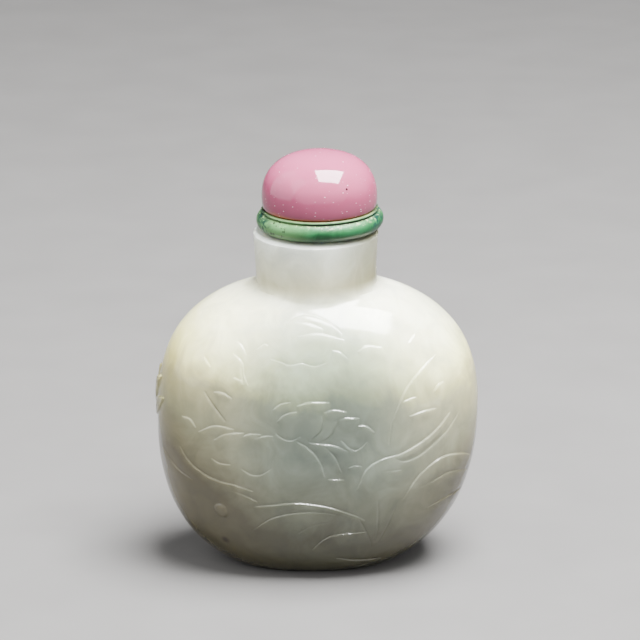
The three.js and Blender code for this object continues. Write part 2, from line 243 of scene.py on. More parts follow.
cuts = [
    # through, rise, body width, fade
    # leaves sweeping up the left side
    ([(-23.2, 21.6), (-21.2, 19.4), (-18.4, 17.9), (-15.8, 17.1), (-13.2, 16.8), (-10.2, 16)],
     0.55, 1.2, 2.2),
    ([(-14, 15.8), (-12, 15.3), (-9.6, 14.2)], 0.4, 0.6, 1.6),
    ([(-28.6, 20), (-24.2, 17.6), (-19.6, 16.2)], 0.45, 0.8, 2.4),
    ([(-22.8, 26.7), (-21, 26.6), (-19.8, 25.4)], 0.45, 0.7, 1.4),
    # leaves arching from the foot to the left
    ([(-10.4, 13.3), (-7.2, 13.8), (-3.4, 14.3), (1.6, 13.7), (5.8, 12.3), (8.6, 11)], 0.5, 0.6, 1.2),
    ([(-11, 9), (-7.2, 11.5), (-2.6, 12.6), (1.6, 12.6), (6, 11.4)], 0.45, 1.6, 3),
    ([(-3, 8.7), (-0.4, 10.2), (3, 11)], 0.2, 0.8, 1.6),
    ([(-0.2, 5.6), (2, 7.7), (4.6, 8.6), (9.6, 8.8)], 0.5, 1.8, 2.4),
    ([(5, 3.7), (10.6, 2.9), (17, 2.7)], 0.45, 0.8, 1.6),
    # leaves standing and bowing to the right
    ([(6.4, 16.4), (7.6, 19.7), (9.8, 21.3), (13, 22)], 0.5, 1.4, 3),
    ([(11, 21.7), (13, 22), (16.4, 23.5), (19.4, 25.4), (21.8, 27.6)], 0.5, 0.9, 0.5),
    ([(11.4, 21.8), (13.6, 20.7), (16, 21.2), (18.6, 22.7), (21, 24.3), (23.8, 27)], 0.25, 0.4, 1.2),
    ([(14.4, 13.8), (16, 17.2), (18.4, 19.4), (21.2, 20.4), (25, 19.9), (29, 18.4)], 0.5, 1.5, 2.6),
    ([(16.6, 15.6), (20.4, 16.8), (23, 17.3), (29, 16)], 0.35, 0.7, 1.4),
    ([(19.8, 11.8), (24, 12.8), (28.8, 12.9)], 0.35, 0.9, 2),
    ([(11.4, 27.2), (13.6, 31.6), (15.6, 33.7), (18.6, 35.6), (21.6, 36.8)], 0.35, 0.3, 0.5),
    ([(17.2, 39), (19.8, 40.1)], 0.25, 0.3, 0.6),
    ([(14.4, 28.1), (16.8, 28.6), (19.2, 28.7)], 0.4, 0.5, 1),
    ([(13.2, 30.5), (15.8, 31.1)], 0.35, 0.4, 0.8),
    ([(19, 31.4), (20, 32.3), (21.2, 32.6)], 0.35, 0.4, 0.8),
    # bud and petals under the neck
    ([(-7, 42.3), (-4.2, 43.2), (-0.6, 43.1), (2.8, 42.3), (5, 41)], 0.4, 0.5, 0.8),
    ([(-5, 42.4), (-2, 42.3), (1.2, 41.7)], 0.25, 0.3, 0.8),
    ([(-4, 40.7), (0.4, 41), (5.2, 40.2)], 0.35, 0.6, 1.2),
    ([(7.2, 38.5), (9.2, 39.2), (12, 38.9)], 0.4, 0.7, 1.2),
    ([(-8.4, 37.4), (-6.4, 37), (-4.8, 36.6), (-2.8, 36.9), (-0.6, 36.5), (1.4, 37)], 0.1, 0.3, 0.6),
    ([(-11.4, 38.6), (-10.2, 39.4), (-9.4, 39.3)], 0.2, 0.3, 0.6),
    ([(2.6, 38.8), (4, 38.5), (5.2, 37.6)], 0.2, 0.3, 0.6),
    # sprig on the left shoulder
    ([(-15.6, 39.5), (-14.2, 38.9), (-12.8, 37.7)], 0.25, 0.4, 0.8),
    ([(-15.4, 37.8), (-13.2, 36.6), (-12.4, 34.8), (-11.4, 33.3)], 0.3, 0.5, 1),
    ([(-14, 34.3), (-12, 33.8)], 0.35, 0.4, 0.8),
    ([(-20.6, 36.6), (-18.6, 35.3)], 0.3, 0.5, 1),
    ([(-17, 31.7), (-15.4, 31.7), (-13.8, 31)], 0.35, 0.4, 0.9),
    # blossom: petals laid to the left of its eye
    ([(-19.4, 24.8), (-16.4, 26.3), (-13.2, 26.1)], 0.4, 0.9, 1.4),
    ([(-16.6, 23.9), (-14.6, 25.2), (-11.6, 25.7)], 0.4, 0.9, 1.6),
    ([(-12, 24.9), (-10.6, 25.6), (-8.8, 25.6)], 0.4, 0.9, 1.6),
    ([(-9.8, 24.9), (-8.2, 25.4), (-7, 25.4)], 0.35, 0.9, 1.6),
    ([(-17, 20.8), (-15.6, 20.2), (-13.8, 20.2)], 0.3, 0.4, 1),
    ([(-12, 19.6), (-10.4, 18.8), (-8.8, 18.9), (-7.2, 20)], 0.2, 0.4, 1),
    # blossom: eye
    ([(-6.6, 25.9), (-5.4, 25), (-4, 24.8), (-2.8, 25.5)], 0.2, 0.3, 0.8),
    # blossom: upper petals
    ([(-7.2, 29.6), (-6, 30.6), (-4.4, 31)], 0.25, 0.6, 1.4),
    ([(-6.4, 27.9), (-5.2, 29), (-3.4, 29.5)], 0.3, 0.5, 1.2),
    ([(-3.4, 30.4), (-1.4, 31), (1.8, 31)], 0.45, 1, 1.6),
    ([(0.8, 29.4), (2.4, 29.8), (4.4, 29.5)], 0.45, 1, 1.6),
    ([(2.8, 28), (4, 28.5), (6.4, 28.4)], 0.45, 1, 1.6),
    ([(6, 27.2), (7.4, 27.1), (8.8, 26)], 0.45, 1, 1.8),
    ([(0.6, 28.8), (0.4, 26.5), (-1.4, 24.8)], 0.25, 0.3, 1.2),
    ([(3.2, 28.4), (2, 25.9), (0.6, 24.8)], 0.3, 0.3, 1.2),
    ([(3.6, 24.8), (5, 23.4), (6.2, 23.2), (7.6, 24.5)], 0.25, 0.3, 0.8),
    # blossom: lower petals
    ([(-3.6, 24.9), (-1.2, 23.3), (0.4, 21.2), (1.2, 18.8)], 0.4, 0.5, 1.6),
    ([(0.2, 24.4), (2.4, 22.4), (3.8, 19.6)], 0.35, 0.4, 1.4),
    ([(-1.4, 24.5), (1.2, 24.2), (2.8, 23.9), (5, 22.9)], 0.4, 0.5, 1.6),
    ([(1.8, 18.4), (4.2, 18.3)], 0.3, 0.4, 1),
    ([(4.8, 20.2), (6, 20.6), (7, 20.4)], 0.2, 0.3, 0.8),
    ([(10.8, 19.3), (13.4, 19.3)], 0.25, 0.3, 0.8),
]
# Straight incised stems: from, to, depth.
grooves = [
    ((-18.8, 31.6), (-14.6, 27.2), 0.16),
    ((11.2, 23.6), (11.6, 27.6), 0.1),
    ((-13, 36), (-12.2, 33.4), 0.12),
    ((7.4, 11.5), (11.8, 5.6), 0.09),
    ((10.2, 14.5), (12, 6.2), 0.09),
    ((13.6, 13.5), (12.6, 6.4), 0.08),
]
# Whole leaves: root, bend, tip, width, rise.
wholeLeaves = [
    # round the back
    ((54, 7), (52, 24), (44, 30), 3.6, 0.4),
    ((55, 7), (62, 26), (54, 37), 3.2, 0.4),
    ((56, 7), (66, 14), (79, 12), 4.2, 0.4),
    ((54.5, 6), (48, 14), (38, 13), 4, 0.4),
    ((56, 8), (68, 19), (70, 24), 1.4, 0.35),
    # half-open flower and its stem on the left narrow side
    ((-38.4, 24), (-38.4, 28.8), (-34.2, 31.8), 2.8, 0.3),
    ((-38, 23.6), (-32.4, 25.2), (-28, 28.2), 2.8, 0.3),
    ((-38.2, 23.8), (-34.8, 28.2), (-30.6, 31), 3.2, 0.48),
    ((-38.2, 24.8), (-42, 17), (-43, 7), 1.2, 0.25),
]
blossom = dict(eye=(73, 27), petals=6, reach=6.4, width=5, rise=0.42, eyeRadius=1.5)
beads = [((-16.3, 12), 1.2, 0.4), (blossom["eye"], blossom["eyeRadius"], 0.7)]
carving = dict(
    depth=0.37, stopWidth=0.11, stopDepth=0.05,
    bank=50, bankGain=1.1, bankLevel=24, bankRange=(34, 68),    # slope of a cut's bank, in degrees
    leafEdge=0.34, veinDepth=0.14, incised=0.16,
    polish=0.035,                             # how uneven hand polishing leaves the stone
)


def petalLeaves():
    # the blossom's petals, as leaves that bend a little to one side
    x, y = blossom["eye"]
    for turn in np.linspace(0, 2 * math.pi, blossom["petals"], endpoint=False):
        dx, dy = math.cos(turn) * blossom["reach"], math.sin(turn) * blossom["reach"]
        bend = (x + dx / 2 + 0.12 * dy, y + dy / 2 - 0.12 * dx)
        yield ((x, y), bend, (x + dx, y + dy), blossom["width"], blossom["rise"])


def throughPoints(points, perSpan=8):
    # smooth line through the points
    p = np.array([points[0], *points, points[-1]], float)
    p[0], p[-1] = 2 * p[1] - p[2], 2 * p[-2] - p[-3]
    t = np.linspace(0, 1, perSpan, endpoint=False)[:, None]
    line = [0.5 * (2 * b + (c - a) * t + (2 * a - 5 * b + 4 * c - d) * t ** 2
                   + (3 * b - a - 3 * c + d) * t ** 3)
            for a, b, c, d in zip(p, p[1:], p[2:], p[3:])]
    return np.vstack([*line, p[-2]])


def fromLine(places, line, reach):
    # for places within reach of the line: index, distance to the right of it, share along it
    near = np.flatnonzero(np.all((places > line.min(0) - reach) & (places < line.max(0) + reach), axis=1))
    best = np.full(len(near), np.inf)
    side, share = np.zeros(len(near)), np.zeros(len(near))
    spans = np.diff(line, axis=0)
    lengths = np.linalg.norm(spans, axis=1)
    starts = np.concatenate([[0], np.cumsum(lengths)[:-1]])
    for start, span, length, before in zip(line, spans, lengths, starts):
        to = places[near] - start
        along = np.clip(to @ span / length ** 2, 0, 1)
        off = to - along[:, None] * span
        distance = np.linalg.norm(off, axis=1)
        closer = distance < best
        best[closer] = distance[closer]
        right = to @ np.array([span[1], -span[0]]) / length
        side[closer] = np.where(right[closer] < 0, -distance[closer], distance[closer])
        share[closer] = (before + along[closer] * length) / lengths.sum()
    return near, side, np.clip(share, 0, 1)


def leafSpine(root, bend, tip):
    t = np.linspace(0, 1, 17)[:, None]
    return (1 - t) ** 2 * np.array(root) + 2 * t * (1 - t) * np.array(bend) + t ** 2 * np.array(tip)


def wrapFlat(places):
    # girths from the seam onwards, so that the back is in one piece
    flat = places.copy()
    flat[:, 0] = (flat[:, 0] - bottle["seamGirth"]) % (2 * halfGirth) + bottle["seamGirth"]
    return flat


def leavesNear(places):
    # for each whole leaf: the places near it, their distance off its spine, its half width there, its rise
    for root, bend, tip, width, rise in [*wholeLeaves, *petalLeaves()]:
        near, side, share = fromLine(places, leafSpine(root, bend, tip), width)
        yield near, side, width / 2 * np.sin(math.pi * share ** 0.9) ** 0.7, rise


def carve(places):
    # height of the carving above the plain bottle
    places = wrapFlat(places)
    height, cut = np.zeros(len(places)), np.zeros(len(places))

    def over(near, values):
        height[near] = np.maximum(height[near], values)

    for through, rise, body, fade in cuts:
        near, side, share = fromLine(places, throughPoints(through), body + fade + 1)
        swell = np.sin(math.pi * share) ** 0.5
        rise = carving["depth"] * rise * swell ** 0.8
        # the cut's bank is flat, and steeper low on the bottle so that it still faces the light
        bank = carving["bank"] + carving["bankGain"] * (carving["bankLevel"] - places[near, 1])
        bank = np.radians(np.clip(bank, *carving["bankRange"]))
        crisp = np.clip(0.5 + side * np.tan(bank) / np.maximum(rise, 0.02), 0, 1)
        soft = 1 - smoothStep(0, 1, (side - body * swell) / fade)
        over(near, rise * crisp * soft)
        foot = side + rise / np.tan(bank) / 2 + carving["stopWidth"]
        stop = carving["stopDepth"] * swell * np.exp(-(foot / carving["stopWidth"]) ** 2)
        cut[near] = np.maximum(cut[near], stop)
    for near, side, half, rise in leavesNear(places):
        half = half + 1e-3
        body = smoothStep(-carving["leafEdge"] / 2, carving["leafEdge"] / 2, half - np.abs(side))
        vein = carving["veinDepth"] * np.exp(-(side / carving["incised"]) ** 2) * (half > 0.5)
        over(near, body * (rise * (0.55 + 0.45 * np.sqrt(np.clip(1 - (side / half) ** 2, 0, 1))) - vein))
    for (girth, level), radius, rise in beads:
        distance = np.hypot(places[:, 0] - girth, places[:, 1] - level) / radius
        near = np.flatnonzero(distance < 1)
        over(near, rise * np.sqrt(1 - distance[near] ** 2))
    for start, end, depth in grooves:
        near, side, share = fromLine(places, np.array([start, end], float), 1)
        height[near] -= depth * np.exp(-(side / carving["incised"]) ** 2) * np.sin(math.pi * share) ** 0.5
    girth, level = places.T
    turn = girth * 2 * math.pi / (2 * halfGirth)
    waves = (np.sin(turn * 13 + 1.3 * np.sin(level * 0.31)) * np.sin(level * 0.52 + 0.8) * 0.5
             + np.sin(turn * 29 + level * 0.4) * 0.25)
    return (height - cut
            + carving["polish"] * waves * smoothStep(0, 6, level) * (1 - smoothStep(38, 44, level)))


def edgeDistance(places):
    # distance to the nearest crisp edge
    places = wrapFlat(places)
    nearest = np.full(len(places), np.inf)

    def keep(near, distance):
        nearest[near] = np.minimum(nearest[near], np.abs(distance))

    for through, rise, body, fade in cuts:
        near, side, share = fromLine(places, throughPoints(through), 2)
        keep(near, side)
    for near, side, half, rise in leavesNear(places):
        keep(near, half - np.abs(side))
    for start, end, depth in grooves:
        near, side, share = fromLine(places, np.array([start, end], float), 2)
        keep(near, side)
    for (girth, level), radius, rise in beads:
        distance = np.hypot(places[:, 0] - girth, places[:, 1] - level)
        keep(np.arange(len(places)), distance - radius * 0.8)
    return nearest


def flatPlaces(points):
    # from the flat grid, in metres, to (girth, level)
    return np.stack([points[:, 0] / mm, np.interp(points[:, 1] / mm, rises, riseLevels)], -1)


def makeBottle():
    # a flat grid, finer towards the crisp edges, wrapped round the bottle and raised by the carving
    columns = round(2 * halfGirth / bottle["cell"])
    rows = round(rises[-1] / bottle["cell"])
    deselectAll()
    bpy.ops.mesh.primitive_grid_add(x_subdivisions=columns, y_subdivisions=rows, size=2)
    piece = bpy.context.object
    piece.name = piece.data.name = "bottle_body"
    points = readPoints(piece)
    points[:, 0] = (bottle["seamGirth"] + (points[:, 0] + 1) * halfGirth) * mm
    points[:, 1] = (points[:, 1] + 1) / 2 * rises[-1] * mm
    writePoints(piece, points)
    for reach in bottle["finer"]:
        centres = readArray(piece.data.polygons, "center", 3)
        pick(piece, "polygons", edgeDistance(flatPlaces(centres)) < reach)
        editMode(piece, "FACE")
        bpy.ops.mesh.subdivide(number_cuts=1)
        bpy.ops.object.mode_set(mode="OBJECT")
    places = flatPlaces(readPoints(piece))
    girth, level = places.T
    lift = carve(places)
    # the foot's edge is rounded over
    lift -= bottle["footRounding"] * (1 - smoothStep(0, 1, level / bottle["footRounding"])) * 0.5
    steady = np.clip(level, 0.2, 53.9)        # where the outline still has a true normal
    onBottle = outline(girth, level) + outlineNormal(girth, steady) * lift[:, None]
    onBottle[:, 2] = np.clip(onBottle[:, 2], 0, bottle["bevelFoot"])
    onBottle[level < 1e-3, 2] = 0
    writePoints(piece, onBottle * mm)
    editMode(piece)
    bpy.ops.mesh.select_all(action="SELECT")
    bpy.ops.mesh.remove_doubles(threshold=1e-6)
    bpy.ops.mesh.select_all(action="DESELECT")
    bpy.ops.object.mode_set(mode="OBJECT")
    closeFoot(piece)
    hollowOut(piece)
    return piece


def pickRing(piece, level):
    # the open edge loop at a level
    pairs = readArray(piece.data.edges, "vertices", 2, int)
    faceEdges = np.bincount(readArray(piece.data.loops, "edge_index", 1, int), minlength=len(pairs))
    onEdge = np.zeros(len(piece.data.vertices), bool)
    onEdge[pairs[faceEdges == 1]] = True
    pick(piece, "vertices", onEdge & (np.abs(readPoints(piece)[:, 2] / mm - level) < 0.05))
    editMode(piece)
    bpy.ops.mesh.select_mode(type="EDGE")


def nextRing(piece, place):
    # extrude the selected ring and move it by a function of its direction from the middle
    bpy.ops.mesh.extrude_region_move()
    bpy.ops.object.mode_set(mode="OBJECT")
    picked = readArray(piece.data.vertices, "select", 1, bool)
    points = readPoints(piece)
    ring = points[picked] / mm
    angle = np.arctan2(ring[:, 0] - centreLine(ring[:, 2]), -ring[:, 1])
    points[picked] = place(angle, ring) * mm
    writePoints(piece, points)
    bpy.ops.object.mode_set(mode="EDIT")


def ringAt(angle, level, halfWidth, halfDepth, power=2.0):
    reach = ((np.abs(np.sin(angle)) / halfWidth) ** power
             + (np.abs(np.cos(angle)) / halfDepth) ** power) ** (-1 / power)
    return np.stack([centreLine(level) + reach * np.sin(angle), -reach * np.cos(angle),
                     np.full(len(angle), level)], -1)


def closeFoot(piece):
    # two rings inwards from the foot's edge, then the middle
    pickRing(piece, 0)
    for share in (0.9, 0.5):
        nextRing(piece, lambda angle, ring: np.stack(
            [ring[:, 0] * share, ring[:, 1] * share, np.zeros(len(ring))], -1))
    bpy.ops.mesh.edge_face_add()
    bpy.ops.object.mode_set(mode="OBJECT")


def hollowOut(piece):
    # from the neck's top: the lip's bevel and crown, the bore and the chamber
    lip, bore, edge, slope = (bottle[name] for name in ("lipLevel", "boreRadius", "boreEdge", "bevelSlope"))
    bevelRadius = bottle["lipRadius"] - bottle["bevel"] * math.sin(slope)
    bevelTop = bottle["bevelFoot"] + bottle["bevel"] * math.cos(slope)
    # a low crown on the lip, then flat to the bore, round its edge and down
    crown = [(bevelRadius - math.tan(slope) * (lip - bevelTop) * t
              - bottle["lipCrown"] * (1 - math.sqrt(1 - t * t)), bevelTop + (lip - bevelTop) * t)
             for t in (0, 0.25, 0.5, 0.75, 0.92, 1)]
    downBore = [(7, lip), (bore + 4 * edge, lip), (bore + edge, lip - edge),
                *[(bore, level) for level in (lip - 5 * edge, lip - 4, 46, bottle["hollowTop"])]]
    pickRing(piece, bottle["bevelFoot"])
    for radius, level in (*crown, *downBore):
        nextRing(piece, lambda angle, ring: ringAt(angle, level, radius, radius))
    turns = np.linspace(*bottle["chamber"], 16)
    reach = np.where(turns > 0, bottle["crownRise"], bottle["baseDrop"]) - bottle["wall"]
    for level in (bottle["hollowTop"], *(bottle["widestLevel"] + np.sin(turns) * reach)):
        halfWidth, halfDepth = sectionAt(np.float64(level), bottle["wall"])
        nextRing(piece, lambda angle, ring: ringAt(angle, level, halfWidth, halfDepth,
                                                   bottle["sectionPower"]))
    nextRing(piece, lambda angle, ring: ringAt(angle, level, halfWidth / 2, halfDepth / 2,
                                               bottle["sectionPower"]))
    bpy.ops.mesh.edge_face_add()
    bpy.ops.mesh.select_all(action="SELECT")
    bpy.ops.mesh.normals_make_consistent(inside=False)
    bpy.ops.object.mode_set(mode="OBJECT")


print("bottle")
bottleBody = makeBottle()
print("bottle triangles", sum(len(p.vertices) - 2 for p in bottleBody.data.polygons))


stopper = dict(axisX=1.35, tilt=math.radians(1), underside=54.5)


def turnedPiece(name, profile, steps):
    # a profile of (radius, level) from axis to axis, spun round and closed
    deselectAll()
    bpy.ops.mesh.primitive_circle_add(vertices=len(profile), fill_type="NOTHING")
    piece = bpy.context.object
    piece.name = piece.data.name = name
    writePoints(piece, [(radius * mm, 0, level * mm) for radius, level in profile])
    editMode(piece, "EDGE")
    bpy.ops.mesh.select_all(action="DESELECT")
    bpy.ops.object.mode_set(mode="OBJECT")
    for edge in piece.data.edges:             # the edge along the axis goes
        edge.select = set(edge.vertices) == {0, len(profile) - 1}
    bpy.ops.object.mode_set(mode="EDIT")
    bpy.ops.mesh.delete(type="EDGE")
    bpy.ops.mesh.select_all(action="SELECT")
    bpy.ops.mesh.spin(steps=steps, angle=2 * math.pi, center=(0, 0, 0), axis=(0, 0, 1))
    bpy.ops.mesh.select_all(action="SELECT")
    bpy.ops.mesh.remove_doubles(threshold=1e-6)
    bpy.ops.mesh.normals_make_consistent(inside=False)
    bpy.ops.object.mode_set(mode="OBJECT")
    return piece


def seatOnNeck(piece):
    # onto the stopper's own axis, a little out of level
    points = readPoints(piece) / mm
    x, y, z = points.T
    cosine, sine = math.cos(stopper["tilt"]), math.sin(stopper["tilt"])
    writePoints(piece, np.stack([x * cosine - z * sine + stopper["axisX"], y,
                                 x * sine + z * cosine + stopper["underside"]], -1) * mm)


def arc(centre, radius, start, end, steps):
    for turn in np.radians(np.linspace(start, end, steps)):
        yield centre[0] + radius * math.cos(turn), centre[1] + radius * math.sin(turn)


collar = dict(rimRadius=9.96, rimRounding=1.42, grooveRadius=8.95, grooveRounding=0.1,
              beadRadius=9.15, beadRounding=0.17, beadTop=3.3, dishRadius=8.6, dishFloor=2.35)


def makeCollar():
    rim, groove, bead = collar["rimRounding"], collar["grooveRounding"], collar["beadRounding"]
    beadMiddle, dish, seat = collar["beadRadius"] - bead, collar["dishRadius"], collar["dishFloor"]
    profile = [(0, 0), (6, 0),
               *arc((collar["rimRadius"] - rim, rim), rim, -90, 70, 25),                # ring
               *arc((collar["grooveRadius"] + 0.08, 2 * rim), groove, 240, 120, 5),     # groove
               *arc((beadMiddle, 2 * rim + groove + bead), bead, -70, 20, 6),           # bead
               *arc((beadMiddle, collar["beadTop"] - bead), bead, 10, 100, 6),
               (dish + 0.05, collar["beadTop"] - 0.02), (dish, collar["beadTop"] - 0.1),
               (dish, seat), (4, seat), (0, seat)]                                      # dish
    piece = turnedPiece("collar_ring", profile, 180)
    # the ring was shaped by hand: its rim wanders by a few hundredths of a millimetre
    points = readPoints(piece)
    turn = np.arctan2(points[:, 1], points[:, 0])
    radius = np.hypot(points[:, 0], points[:, 1])
    wander = 1 + 0.002 * np.sin(3 * turn + 0.7) + 0.0012 * np.sin(7 * turn)
    rim = smoothStep(8.0, 9.0, radius / mm)[:, None]
    points[:, :2] *= 1 + (wander[:, None] - 1) * rim
    writePoints(piece, points)
    seatOnNeck(piece)
    return piece


cap = dict(radius=9.08, equator=4.95, rise=7.2, domePower=2.4, seatRadius=8.3, skirtRadius=8.75,
           skirtEdge=0.1)


def makeCap():
    radius, skirt, edge, equator = cap["radius"], cap["skirtRadius"], cap["skirtEdge"], cap["equator"]
    seat, overhang = collar["dishFloor"] + 0.05, collar["beadTop"] + 0.03
    # the side below the widest level, then the dome above it
    low = [(skirt + (radius - skirt) * math.sin(t),
            overhang + edge + (equator - overhang - edge) * (1 - math.cos(t)))
           for t in np.linspace(0, math.pi / 2, 10)[:-1]]
    dome = [(radius * math.cos(t) ** (2 / cap["domePower"]),
             equator + cap["rise"] * math.sin(t) ** (2 / cap["domePower"]))
            for t in np.linspace(0, math.pi / 2, 40)[:-1]]
    profile = [(0, seat), (cap["seatRadius"], seat), (cap["seatRadius"], overhang),
               (skirt - 0.12, overhang), *low, *dome, (0, equator + cap["rise"])]
    piece = turnedPiece("cap_dome", profile, 144)
    # ground and polished by hand, so not quite a turned shape
    points = readPoints(piece)
    turn = np.arctan2(points[:, 1], points[:, 0])
    height = smoothStep(equator, equator + cap["rise"], points[:, 2] / mm)
    wander = 0.004 * np.sin(2 * turn + 0.5) + 0.003 * np.sin(5 * turn + 3 * height)
    points[:, :2] *= 1 - np.abs(wander[:, None]) * smoothStep(3.6, 5, points[:, 2:] / mm)
    writePoints(piece, points)
    seatOnNeck(piece)
    return piece


cork = dict(radius=4.3, tipRadius=3.85, bottom=48.2, top=54.4, chamfer=0.5)     # levels from the foot


def makeCork():
    tip, chamfer, bottom, top = cork["tipRadius"], cork["chamfer"], cork["bottom"], cork["top"]
    taper, length = cork["radius"] - tip, top - bottom
    profile = [(0, bottom), (2, bottom), (tip - chamfer, bottom),
               *[(tip + taper * t - chamfer * (1 - t) ** 8,
                  bottom + chamfer * (1 - (1 - t) ** 8) * (1 - t) + length * t)
                 for t in np.linspace(0.02, 1, 14)],
               (2, top), (0, top)]
    piece = turnedPiece("cork_plug", profile, 64)
    points = readPoints(piece)
    points[:, 0] += centreLine(np.float64(bottle["lipLevel"])) * mm
    writePoints(piece, points)
    return piece


print("stopper")
collarRing = makeCollar()
capDome = makeCap()
corkPlug = makeCork()
for piece in (bottleBody, collarRing, capDome, corkPlug):
    deselectAll()
    piece.select_set(True)
    bpy.context.view_layer.objects.active = piece
    bpy.ops.object.shade_smooth_by_angle(angle=math.radians(40))


def nephriteJade():
    # white nephrite, carved and waxed, cloudy in depth: pale crown, olive foot and sides, a cool grey heart.
    # The darkening towards the foot and sides is partly painted shade, the grey heart is partly painted
    # reflection of the dark in front, and the darker right side of the neck is painted shade
    look = dict(
        cloud=11, veil=4.5, fleck=1.3,                    # size of the clouds, wisps and polish marks
        crown=45.5, reach=47, halfSpan=26,                # the tones run this far down and to the sides
        sidePull=2.5, cloudPush=0.3,
        greyHeartAndReflection=((1, -16, 31), 19.5, 5.85, 0.8),            # middle, where it begins and is whole, strength
        coolFoot=((3, -16, 9), 18, 6),                    # the same, with its height counted half
        neckFoot=46, neckBlend=(44.5, 47.5), neckShadeSide=(2, 10),
        inclusion=(-17.8, 6.3))                           # girth and level
    m, place = newMaterial("polished white nephrite")
    cloud = addNode(m, "ShaderNodeTexNoise", {
        "Scale": 1000 / look["cloud"], "Detail": 4, "Roughness": 0.6, "Distortion": 0.8}, {"Vector": place})
    # darker below the pale crown, growing faster towards the narrow sides and pushed about by the clouds:
    # partly the stone's olive tone, partly painted shade from light falling from above
    split = addNode(m, "ShaderNodeSeparateXYZ", links={"Vector": place})
    below = addNode(m, "ShaderNodeMapRange", {
        "From Min": look["crown"] * mm, "From Max": (look["crown"] - look["reach"]) * mm},
        {"Value": (split, "Z")})
    across = addNode(m, "ShaderNodeMapRange", {
        "From Min": -look["halfSpan"] * mm, "From Max": look["halfSpan"] * mm}, {"Value": (split, "X")})
    sides = addNode(m, "ShaderNodeValToRGB", links={"Fac": (across, "Result")}, stops=[
        (0, "#ffffff"), (0.07, "#fafafa"), (0.13, "#c5c5c5"), (0.21, "#939393"), (0.3, "#595959"),
        (0.45, "#303030"), (0.62, "#000000"), (0.85, "#000000"), (0.91, "#555555"), (1, "#c8c8c8")])
    cubed = addNode(m, "ShaderNodeMath", {"operation": "POWER", 1: 3}, {0: (below, "Result")})
    aside = addNode(m, "ShaderNodeMath", {"operation": "MULTIPLY"},
                    {0: (cubed, "Value"), 1: (sides, "Color")})
    depth = addNode(m, "ShaderNodeMath", {"operation": "MULTIPLY_ADD", 1: look["sidePull"]},
                    {0: (aside, "Value"), 2: (below, "Result")})
    pushed = addNode(m, "ShaderNodeMath", {"operation": "MULTIPLY_ADD", 1: look["cloudPush"]},
                     {0: (cloud, "Fac"), 2: (depth, "Value")})
    # from pale cream at the crown to dark olive at the foot: partly the stone's own tone, partly painted
    # shade
    toneAndShade = addNode(m, "ShaderNodeValToRGB", links={"Fac": (pushed, "Value")}, stops=[
        (0.12, "#f7f9e7"), (0.25, "#f5f7d6"), (0.36, "#eceebb"), (0.425, "#c6c598"), (0.475, "#a9a98b"),
        (0.53, "#a0a085"), (0.66, "#8b8d78"), (0.82, "#6e6d5a"), (1, "#4c4836")])
    # warmer at the narrow sides, cool in the heart of the front and from there down to the foot; the grey of
    # the heart is partly the stone's own, partly painted reflection of the dark in front of the bottle
    greyHeartAndReflection = patchMask(m, place, *look["greyHeartAndReflection"])
    tall = addNode(m, "ShaderNodeVectorMath", {"operation": "MULTIPLY", 1: (1, 1, 0.5)}, {0: place})
    coolFoot = patchMask(m, (tall, "Vector"), *look["coolFoot"])
    body = (toneAndShade, "Color")
    for mask, code in (((sides, "Color"), "#fff6d2"), (greyHeartAndReflection, "#9ea7b1"), (coolFoot, "#eaf5ff")):
        body = (addNode(m, "ShaderNodeMix", {
            "data_type": "RGBA", "blend_type": "MULTIPLY", 7: hexColour(code)}, {0: mask, 6: body}), 2)
    # the neck runs from a warm cloudy foot to a bluish lip, and its right side is darkened: painted shade
    upNeck = addNode(m, "ShaderNodeMapRange", {
        "From Min": look["neckFoot"] * mm, "From Max": bottle["lipLevel"] * mm}, {"Value": (split, "Z")})
    neckTone = addNode(m, "ShaderNodeValToRGB", links={"Fac": (upNeck, "Result")}, stops=[
        (0, "#bcb896"), (0.5, "#cdcfbc"), (1, "#e0e6df")])
    onNeck, sideways = [
        addNode(m, "ShaderNodeMapRange", {
            "interpolation_type": "SMOOTHSTEP", "From Min": begins * mm, "From Max": whole * mm,
            "To Max": strength}, {"Value": (split, axis)})
        for axis, (begins, whole), strength in (("Z", look["neckBlend"], 1), ("X", look["neckShadeSide"], 0.9))]
    neckRightShade = addNode(m, "ShaderNodeMix", {
        "data_type": "RGBA", "blend_type": "MULTIPLY", 7: hexColour("#918e79")},
        {0: (sideways, "Result"), 6: (neckTone, "Color")})
    necked = addNode(m, "ShaderNodeMix", {"data_type": "RGBA"},
                     {0: (onNeck, "Result"), 6: body, 7: (neckRightShade, 2)})
    # pale wisps and darker gaps at depth, drawn out up the bottle
    stretched = addNode(m, "ShaderNodeVectorMath", {"operation": "MULTIPLY", 1: (1, 1, 0.85)}, {0: place})
    wisps = addNode(m, "ShaderNodeTexNoise", {
        "Scale": 1000 / look["veil"], "Detail": 5, "Roughness": 0.55, "Distortion": 1},
        {"Vector": (stretched, "Vector")})
    veil = addNode(m, "ShaderNodeValToRGB", links={"Fac": (wisps, "Fac")}, stops=[
        (0.3, "#d9dad9"), (0.5, "#efeeea"), (0.68, "#ffffff")])
    veiled = addNode(m, "ShaderNodeMix", {"data_type": "RGBA", "blend_type": "MULTIPLY", 0: 0.85},
                     {6: (necked, 2), 7: (veil, "Color")})
    # one dark inclusion low on the left
    spot = patchMask(m, place, outline(*np.array(look["inclusion"])[:, None])[0], 1, 0.2, 0.95)
    marked = addNode(m, "ShaderNodeMix", {"data_type": "RGBA", 7: hexColour("#2e261d")},
                     {0: spot, 6: (veiled, 2)})
    fleck = addNode(m, "ShaderNodeTexNoise", {"Scale": 1000 / look["fleck"], "Detail": 3}, {"Vector": place})
    bump = addNode(m, "ShaderNodeBump", {"Strength": 0.05, "Distance": 0.0002}, {"Height": (fleck, "Fac")})
